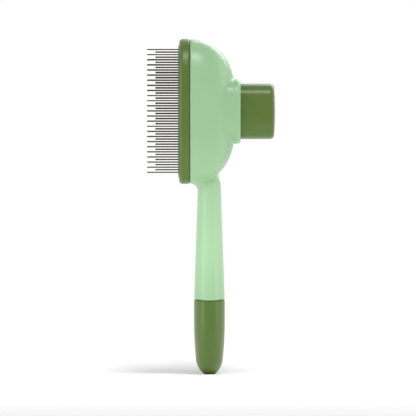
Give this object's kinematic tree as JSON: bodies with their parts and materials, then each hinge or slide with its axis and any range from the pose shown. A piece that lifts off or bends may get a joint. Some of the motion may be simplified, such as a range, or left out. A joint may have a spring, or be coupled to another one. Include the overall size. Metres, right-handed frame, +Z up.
{
  "type": "slicker brush",
  "caption": "Upright grooming brush: oval head with long and short steel pins, a cleaning plate that slides along them, a square push-button behind, and a capped grip.",
  "frame": {"origin": "on the ground under the middle of the overall depth, the brush standing upright on the flat foot of its grip cap", "axes": "+Z up along the handle to the head, -X the way the pins point, +X the way the button stands, Y across the head, mirror plane Y = 0"},
  "size_m": [0.0724, 0.0452, 0.1897],
  "materials": {
    "body_green": "soft satin moulded pale green",
    "trim_green": "smooth satin moulded olive green",
    "plate_grey": "fine matt grey",
    "board_plastic": "fine matt dark grey",
    "pin_steel": "drawn steel wire",
    "rod_steel": "ground",
    "screw_steel": "plain zinc plated",
    "bush_brass": "turned",
    "inner_plastic": "natural nylon",
    "seal_rubber": "matt dark green black"
  },
  "bodies": {
    "brush": {"body": "body_green", "rim": "trim_green", "rim_seal": "seal_rubber", "pin_board": "board_plastic", "long_pins": "pin_steel", "short_pins": "pin_steel", "pin_retainer": "inner_plastic", "board_screws": "screw_steel", "rod_bushes": "bush_brass", "spring_seat": "screw_steel", "stop_pads": "seal_rubber", "collar_liner": "board_plastic", "seam_ring": "seal_rubber", "grip_cap": "trim_green", "handle_core": "inner_plastic", "return_spring": "rod_steel"},
    "ejector": {"button": "trim_green", "plunger_plate": "inner_plastic", "push_rods": "rod_steel", "cleaning_plate": "plate_grey", "plate_screws": "screw_steel", "button_screws": "screw_steel"}
  },
  "joints": [
    {"name": "button_press", "type": "slide", "parent": "brush", "child": "ejector", "axis": [-1, 0, 0], "range_m": [0, 0.0135], "stiffness_N_per_m": 350, "springref_m": -0.012, "deforming": ["return_spring"]}
  ]
}
